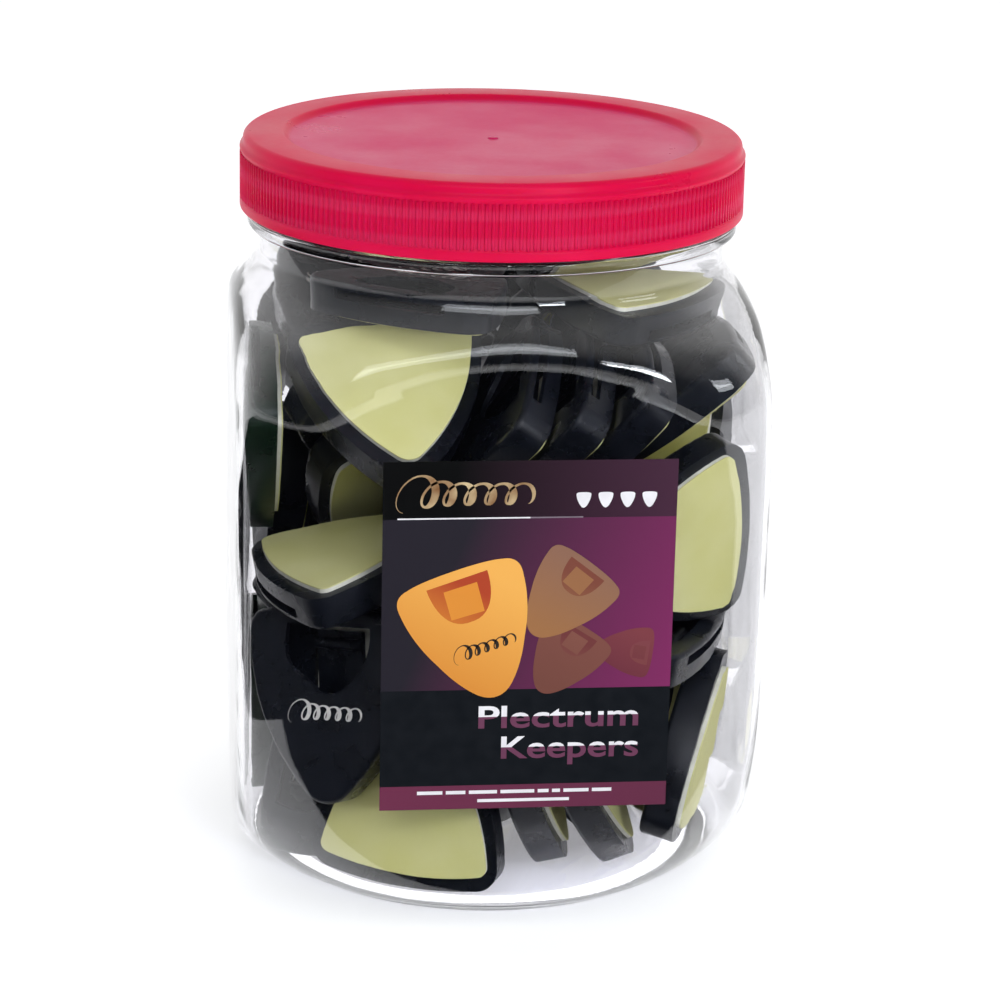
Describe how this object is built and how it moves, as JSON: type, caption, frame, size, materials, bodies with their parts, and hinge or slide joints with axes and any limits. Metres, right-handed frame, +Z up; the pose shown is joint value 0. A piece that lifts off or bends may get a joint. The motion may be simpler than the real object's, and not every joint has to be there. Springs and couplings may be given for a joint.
{
  "type": "pick holder jar",
  "caption": "Clear square-shouldered jar with a red screw lid, filled with loose stick-on guitar pick holders, each with a sprung tongue, foam tape and backing paper",
  "frame": {"origin": "on the jar's axis at the height of its foot", "axes": "+Z up along the jar's axis, the label faces -Y, +X to the right of someone facing the label"},
  "size_m": [0.1208, 0.121, 0.1716],
  "materials": {
    "clear_pet": "clear blown PET with a faint blue-violet tint",
    "label_print": "printed vinyl label, dark plum",
    "red_lid": "translucent crimson polypropylene, satin",
    "liner_foam": "pale expanded liner",
    "foam_tape": "pale foam mounting tape",
    "release_paper": "pale yellow waxed release paper",
    "black_plastic": "glossy black injection-moulded plastic"
  },
  "bodies": {
    "jar": {"jar_shell": "clear_pet", "front_label": "label_print", "holder_1_front_shell": "black_plastic", "holder_1_back_plate": "black_plastic", "holder_1_foam_pad": "foam_tape", "holder_1_backing_paper": "release_paper", "holder_2_front_shell": "black_plastic", "holder_2_back_plate": "black_plastic", "holder_2_foam_pad": "foam_tape", "holder_2_backing_paper": "release_paper", "holder_3_front_shell": "black_plastic", "holder_3_back_plate": "black_plastic", "holder_3_foam_pad": "foam_tape", "holder_3_backing_paper": "release_paper", "holder_4_front_shell": "black_plastic", "holder_4_back_plate": "black_plastic", "holder_4_foam_pad": "foam_tape", "holder_4_backing_paper": "release_paper", "holder_5_front_shell": "black_plastic", "holder_5_back_plate": "black_plastic", "holder_5_foam_pad": "foam_tape", "holder_5_backing_paper": "release_paper", "holder_6_front_shell": "black_plastic", "holder_6_back_plate": "black_plastic", "holder_6_foam_pad": "foam_tape", "holder_6_backing_paper": "release_paper", "layer_1_front_shells": "black_plastic", "layer_1_back_plates": "black_plastic", "layer_1_foam_pads": "foam_tape", "layer_1_backing_papers": "release_paper", "layer_2_front_shells": "black_plastic", "layer_2_back_plates": "black_plastic", "layer_2_foam_pads": "foam_tape", "layer_2_backing_papers": "release_paper", "layer_3_front_shells": "black_plastic", "layer_3_back_plates": "black_plastic", "layer_3_foam_pads": "foam_tape", "layer_3_backing_papers": "release_paper", "layer_4_front_shells": "black_plastic", "layer_4_back_plates": "black_plastic", "layer_4_foam_pads": "foam_tape", "layer_4_backing_papers": "release_paper", "layer_5_front_shells": "black_plastic", "layer_5_back_plates": "black_plastic", "layer_5_foam_pads": "foam_tape", "layer_5_backing_papers": "release_paper", "layer_6_front_shells": "black_plastic", "layer_6_back_plates": "black_plastic", "layer_6_foam_pads": "foam_tape", "layer_6_backing_papers": "release_paper"},
    "liner": {"lid_liner": "liner_foam"},
    "lid": {"lid_shell": "red_lid"},
    "tongue_1": {"holder_1_tongue": "black_plastic"},
    "tongue_2": {"holder_2_tongue": "black_plastic"},
    "tongue_3": {"holder_3_tongue": "black_plastic"},
    "tongue_4": {"holder_4_tongue": "black_plastic"},
    "tongue_5": {"holder_5_tongue": "black_plastic"},
    "tongue_6": {"holder_6_tongue": "black_plastic"}
  },
  "joints": [
    {"name": "lid_lift", "type": "slide", "parent": "jar", "child": "liner", "axis": [0, 0, 1], "range_m": [0, 0.01955]},
    {"name": "lid_turn", "type": "hinge", "parent": "liner", "child": "lid", "pos_m": [0, 0, 0.163], "axis": [0, 0, 1], "range_deg": [0, 1080]},
    {"name": "tongue_1_flex", "type": "hinge", "parent": "jar", "child": "tongue_1", "pos_m": [-0.03635, -0.04136, 0.05124], "axis": [-0.8214, 0.5589, -0.1139], "range_deg": [0, 5.5], "stiffness_Nm_per_rad": 0.05},
    {"name": "tongue_2_flex", "type": "hinge", "parent": "jar", "child": "tongue_2", "pos_m": [-0.05185, -0.01705, 0.10619], "axis": [0, 0.9685, 0.249], "range_deg": [0, 5.5], "stiffness_Nm_per_rad": 0.05},
    {"name": "tongue_3_flex", "type": "hinge", "parent": "jar", "child": "tongue_3", "pos_m": [0.03011, -0.03197, 0.06042], "axis": [0.4761, 0.8789, 0.027], "range_deg": [0, 5.5], "stiffness_Nm_per_rad": 0.05},
    {"name": "tongue_4_flex", "type": "hinge", "parent": "jar", "child": "tongue_4", "pos_m": [-0.01656, -0.02126, 0.13744], "axis": [0.8525, -0.522, -0.0278], "range_deg": [0, 5.5], "stiffness_Nm_per_rad": 0.05},
    {"name": "tongue_5_flex", "type": "hinge", "parent": "jar", "child": "tongue_5", "pos_m": [-0.05113, 0.00181, 0.03655], "axis": [-0.0165, 0.9991, -0.0386], "range_deg": [0, 5.5], "stiffness_Nm_per_rad": 0.05},
    {"name": "tongue_6_flex", "type": "hinge", "parent": "jar", "child": "tongue_6", "pos_m": [0.05138, 0.00655, 0.07156], "axis": [0.0241, -0.9575, 0.2875], "range_deg": [0, 5.5], "stiffness_Nm_per_rad": 0.05}
  ],
  "couplings": [
    {"joint": "lid_lift", "follows": "lid_turn", "m_per_rad": 0.0010106}
  ]
}
